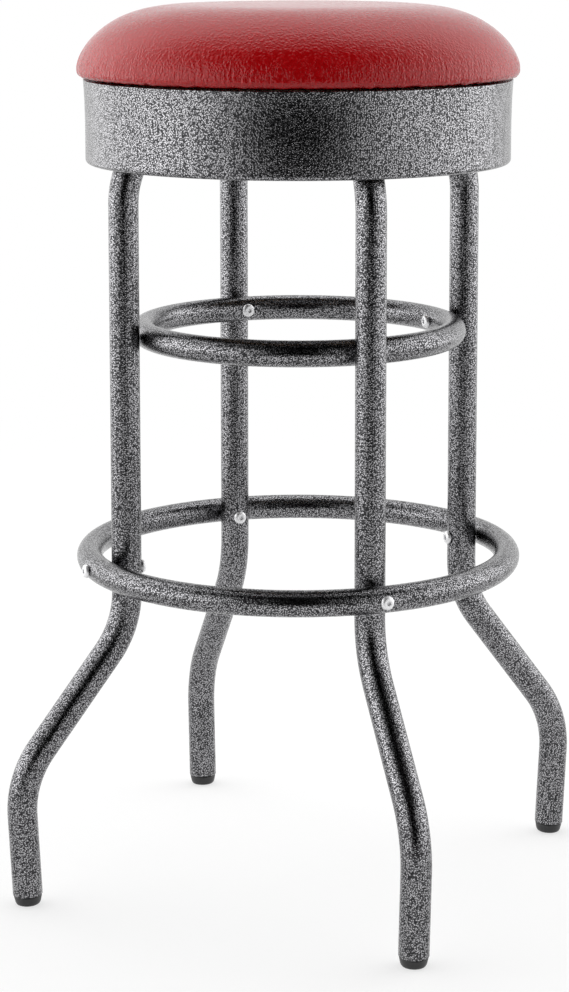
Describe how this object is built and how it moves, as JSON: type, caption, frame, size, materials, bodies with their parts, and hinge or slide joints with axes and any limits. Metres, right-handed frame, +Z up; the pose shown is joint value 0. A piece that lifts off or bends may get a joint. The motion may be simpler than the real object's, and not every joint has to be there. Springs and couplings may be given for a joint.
{
  "type": "diner counter stool",
  "caption": "Backless bar-height stool with a round padded seat that swivels on bent tube legs tied by an upper ring and a foot ring.",
  "frame": {"origin": "on the floor under the centre of the seat, the middle of the bounding box's bottom", "axes": "+Z up along the swivel axis; -Y is the front, and the legs stand on the diagonals between X and Y"},
  "size_m": [0.385, 0.385, 0.762],
  "materials": {
    "red_vinyl": "satin, fine grain",
    "foam": "matt",
    "plywood": "bare",
    "hammertone": "silver-vein powder coat",
    "plain_steel": "plain",
    "zinc": "bright zinc",
    "black_plastic": "matt"
  },
  "bodies": {
    "base": {"leg_front_right": "hammertone", "foot_plug_front_right": "black_plastic", "leg_bolt_inner_front_right": "zinc", "leg_bolt_outer_front_right": "zinc", "upper_ring_screw_front_right": "zinc", "upper_ring_insert_front_right": "plain_steel", "foot_ring_bolt_front_right": "zinc", "foot_ring_nut_front_right": "zinc", "leg_back_right": "hammertone", "foot_plug_back_right": "black_plastic", "leg_bolt_inner_back_right": "zinc", "leg_bolt_outer_back_right": "zinc", "upper_ring_screw_back_right": "zinc", "upper_ring_insert_back_right": "plain_steel", "foot_ring_bolt_back_right": "zinc", "foot_ring_nut_back_right": "zinc", "leg_back_left": "hammertone", "foot_plug_back_left": "black_plastic", "leg_bolt_inner_back_left": "zinc", "leg_bolt_outer_back_left": "zinc", "upper_ring_screw_back_left": "zinc", "upper_ring_insert_back_left": "plain_steel", "foot_ring_bolt_back_left": "zinc", "foot_ring_nut_back_left": "zinc", "leg_front_left": "hammertone", "foot_plug_front_left": "black_plastic", "leg_bolt_inner_front_left": "zinc", "leg_bolt_outer_front_left": "zinc", "upper_ring_screw_front_left": "zinc", "upper_ring_insert_front_left": "plain_steel", "foot_ring_bolt_front_left": "zinc", "foot_ring_nut_front_left": "zinc", "upper_ring": "hammertone", "foot_ring": "hammertone", "swivel_bottom_plate": "plain_steel", "swivel_rivet": "plain_steel"},
    "cage": {"ball_cage": "plain_steel"},
    "seat": {"seat_cover": "red_vinyl", "seat_foam": "foam", "seat_board": "plywood", "apron_band": "hammertone", "swivel_top_plate": "plain_steel", "apron_screw_front_right": "zinc", "seat_plate_screw_front_right": "zinc", "apron_screw_back_right": "zinc", "seat_plate_screw_back_right": "zinc", "apron_screw_back_left": "zinc", "seat_plate_screw_back_left": "zinc", "apron_screw_front_left": "zinc", "seat_plate_screw_front_left": "zinc"}
  },
  "joints": [
    {"name": "seat_swivel", "type": "hinge", "parent": "base", "child": "seat", "pos_m": [0, 0, 0.694], "axis": [0, 0, 1], "continuous": true},
    {"name": "ball_cage_turn", "type": "hinge", "parent": "base", "child": "cage", "pos_m": [0, 0, 0.694], "axis": [0, 0, 1], "continuous": true}
  ],
  "couplings": [
    {"joint": "ball_cage_turn", "follows": "seat_swivel", "ratio": 0.5}
  ]
}
